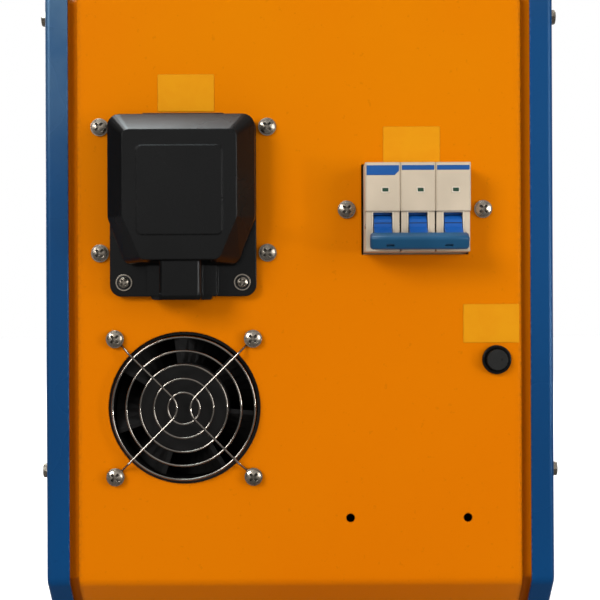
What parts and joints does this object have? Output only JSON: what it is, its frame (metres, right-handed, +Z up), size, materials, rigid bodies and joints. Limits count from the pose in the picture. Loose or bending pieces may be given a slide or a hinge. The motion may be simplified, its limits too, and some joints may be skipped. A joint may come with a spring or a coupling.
{
  "type": "induction heating machine",
  "caption": "Mobile workshop induction heater in a sheet-metal case with copper coil terminals, water fittings, control panel, rear breaker, fuse, mains inlet hood and fan.",
  "frame": {"origin": "on the floor, in the middle of the machine's bounding box, so the soles of the rubber feet lie at Z = 0", "axes": "+Z up; the rear panel with inlet, breaker, fuse and fan faces -Y; the front panel with controls and copper terminals faces +Y; +X is to the right when looking at the rear panel"},
  "size_m": [0.276, 0.5534, 0.4405],
  "materials": {
    "orange_paint": "semi-gloss powder coat",
    "blue_paint": "semi-gloss powder coat",
    "zinc_steel": "zinc plated",
    "foot_rubber": "matt",
    "handle_coating": "satin black",
    "black_moulding": "satin moulded",
    "cream_moulding": "satin moulded",
    "blue_moulding": "gloss moulded",
    "ground_steel": "ground",
    "fuse_glass": "clear",
    "nickel_plate": "nickel plated",
    "copper_wire": "enamelled winding",
    "fascia_plate": "matt film on plate",
    "red_lens": "tinted gloss",
    "green_lamp": "tinted gloss",
    "green_button": "gloss moulded",
    "red_button": "gloss moulded",
    "knob_black": "satin moulded",
    "red_insulator": "pressed laminate",
    "copper": "bare copper",
    "brass": "turned",
    "cooling_aluminium": "machined",
    "module_black": "filled epoxy",
    "capacitor_case": "drawn can",
    "ferrite": "ground ferrite",
    "board_green": "solder mask",
    "hose_blue": "smooth hose"
  },
  "bodies": {
    "case": {"left_side_cover": "blue_paint", "right_side_cover": "blue_paint", "rear_panel": "orange_paint", "front_panel": "orange_paint", "top_cover": "orange_paint", "base_plate": "orange_paint", "side_cover_bolts": "zinc_steel", "seam_screws": "zinc_steel", "rubber_feet": "foot_rubber", "foot_bolts": "zinc_steel", "rear_handle": "handle_coating", "front_handle": "handle_coating", "handle_screws": "zinc_steel", "inlet_cover": "black_moulding", "inlet_back_plate": "black_moulding", "inlet_cover_screws": "zinc_steel", "inlet_bracket": "zinc_steel", "inlet_terminal_block": "black_moulding", "inlet_cable_clamp": "black_moulding", "panel_screws": "zinc_steel", "breaker_pole_1": "cream_moulding", "breaker_pole_2": "cream_moulding", "breaker_pole_3": "cream_moulding", "breaker_axle": "ground_steel", "breaker_rail": "zinc_steel", "rail_standoffs": "zinc_steel", "fuse_holder": "black_moulding", "fuse_holder_nut": "black_moulding", "fan_frame": "black_moulding", "fan_motor": "copper_wire", "fan_guard": "zinc_steel", "fan_screws": "zinc_steel", "control_fascia": "fascia_plate", "display_lenses": "red_lens", "indicator_lamps": "green_lamp", "button_bodies": "black_moulding", "power_control": "ground_steel", "output_plate": "red_insulator", "output_terminals": "copper", "water_fittings": "brass", "pedal_socket": "nickel_plate", "cold_plate": "cooling_aluminium", "power_modules": "module_black", "capacitor_bank": "capacitor_case", "transformer_core": "ferrite", "transformer_winding": "copper", "control_board": "board_green", "cooling_hoses": "hose_blue"},
    "breaker_handle": {"breaker_lever_1": "blue_moulding", "breaker_lever_2": "blue_moulding", "breaker_lever_3": "blue_moulding", "breaker_tie_bar": "blue_moulding"},
    "fan_wheel": {"fan_rotor": "black_moulding", "fan_shaft": "ground_steel"},
    "fuse": {"fuse_glass": "fuse_glass", "fuse_ends": "nickel_plate"},
    "fuse_cap": {"fuse_cap": "black_moulding"},
    "start_button": {"start_button": "green_button"},
    "stop_button": {"stop_button": "red_button"},
    "power_knob": {"power_knob": "knob_black"}
  },
  "joints": [
    {"name": "breaker_switch", "type": "hinge", "parent": "case", "child": "breaker_handle", "pos_m": [0.06, -0.25927, 0.236], "axis": [-1, 0, 0], "range_deg": [0, 60]},
    {"name": "fan_spin", "type": "hinge", "parent": "case", "child": "fan_wheel", "pos_m": [-0.06, -0.22527, 0.143], "axis": [0, -1, 0], "continuous": true},
    {"name": "fuse_pull", "type": "slide", "parent": "case", "child": "fuse", "axis": [0, -1, 0], "range_m": [0, 0.034]},
    {"name": "fuse_cap_turn", "type": "hinge", "parent": "fuse", "child": "fuse_cap", "pos_m": [0.102, -0.24527, 0.1674], "axis": [0, -1, 0], "range_deg": [0, 90]},
    {"name": "start_press", "type": "slide", "parent": "case", "child": "start_button", "axis": [0, -1, 0], "range_m": [0, 0.004], "stiffness_N_per_m": 400},
    {"name": "stop_press", "type": "slide", "parent": "case", "child": "stop_button", "axis": [0, -1, 0], "range_m": [0, 0.004], "stiffness_N_per_m": 400},
    {"name": "power_turn", "type": "hinge", "parent": "case", "child": "power_knob", "pos_m": [0.001, 0.23473, 0.26], "axis": [0, -1, 0], "range_deg": [0, 300]}
  ]
}
